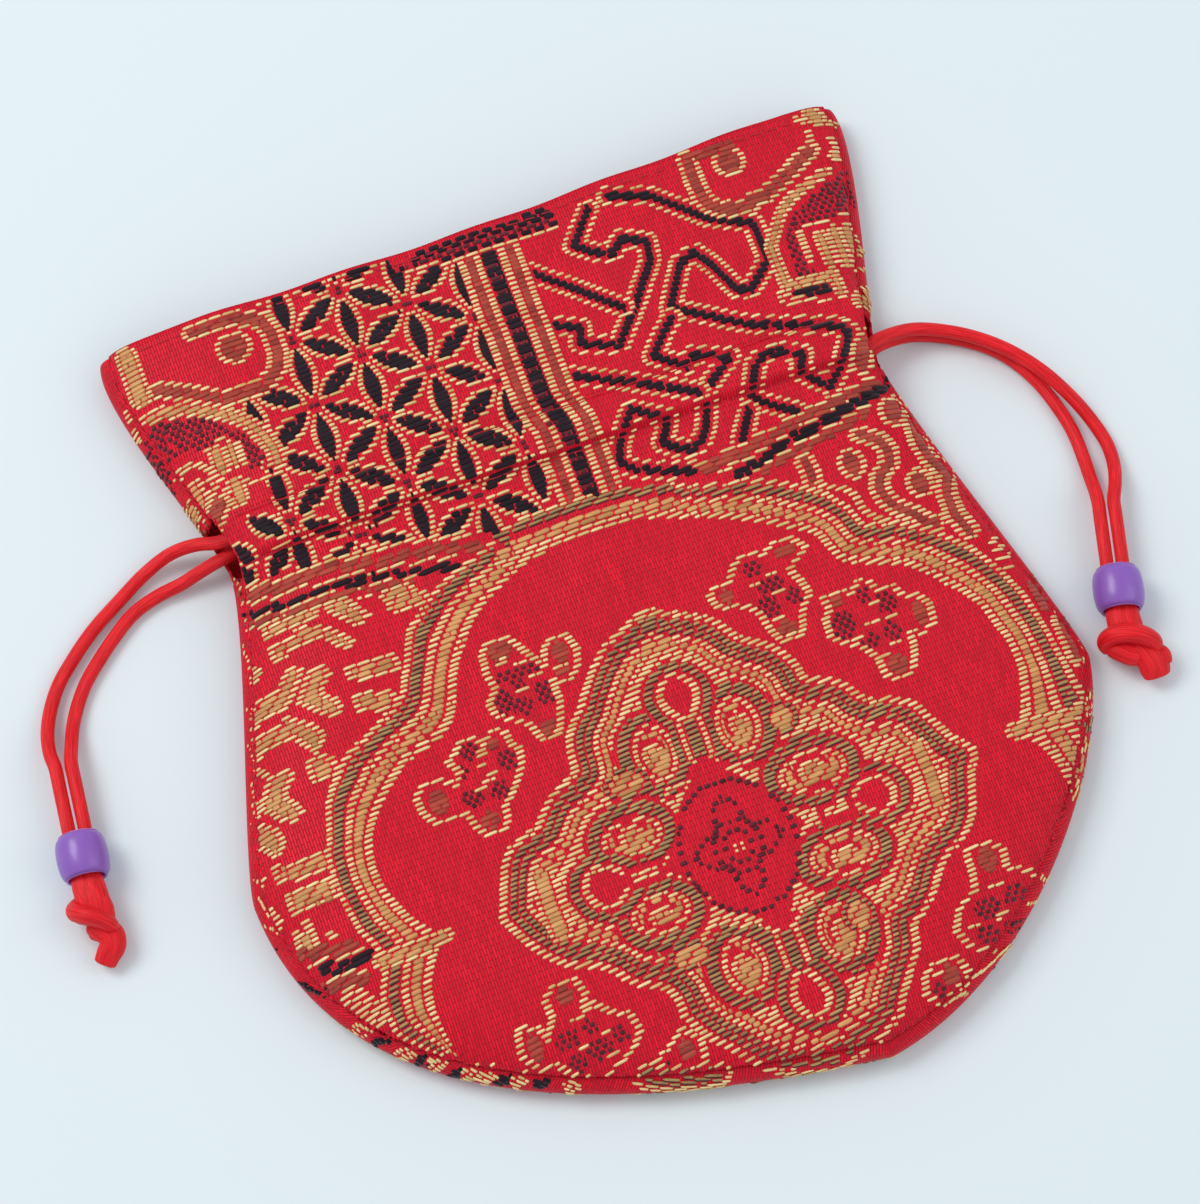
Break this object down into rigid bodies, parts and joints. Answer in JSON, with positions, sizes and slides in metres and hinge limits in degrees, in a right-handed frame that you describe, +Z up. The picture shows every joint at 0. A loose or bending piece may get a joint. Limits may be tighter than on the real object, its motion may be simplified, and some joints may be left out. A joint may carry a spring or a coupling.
{
  "type": "drawstring pouch",
  "caption": "Flat drawstring pouch of red silk brocade with a round bottom, a frilled mouth, satin pull cords through a hem channel, and barrel beads held by knots.",
  "frame": {"origin": "on the surface the pouch lies on, under the middle of the two panels (cords, beads and knots left out)", "axes": "+Z up out of the front panel, +Y from the round bottom to the mouth, +X to the right with the front seen from above"},
  "size_m": [0.1666, 0.1394, 0.0119],
  "materials": {
    "brocade": "satin",
    "cord": "satin",
    "bead": "gloss"
  },
  "bodies": {
    "pouch": {"front_panel": "brocade", "back_panel": "brocade", "drawcord_left": "cord", "drawcord_right": "cord", "knot_left": "cord", "knot_right": "cord"},
    "left_bead": {"bead_left": "bead"},
    "right_bead": {"bead_right": "bead"}
  },
  "joints": [
    {"name": "bead_left_slide", "type": "slide", "parent": "pouch", "child": "left_bead", "axis": [0.094, 0.9956, 0], "range_m": [0, 0.008]},
    {"name": "bead_right_slide", "type": "slide", "parent": "pouch", "child": "right_bead", "axis": [0.2559, 0.9667, 0], "range_m": [0, 0.008]}
  ]
}
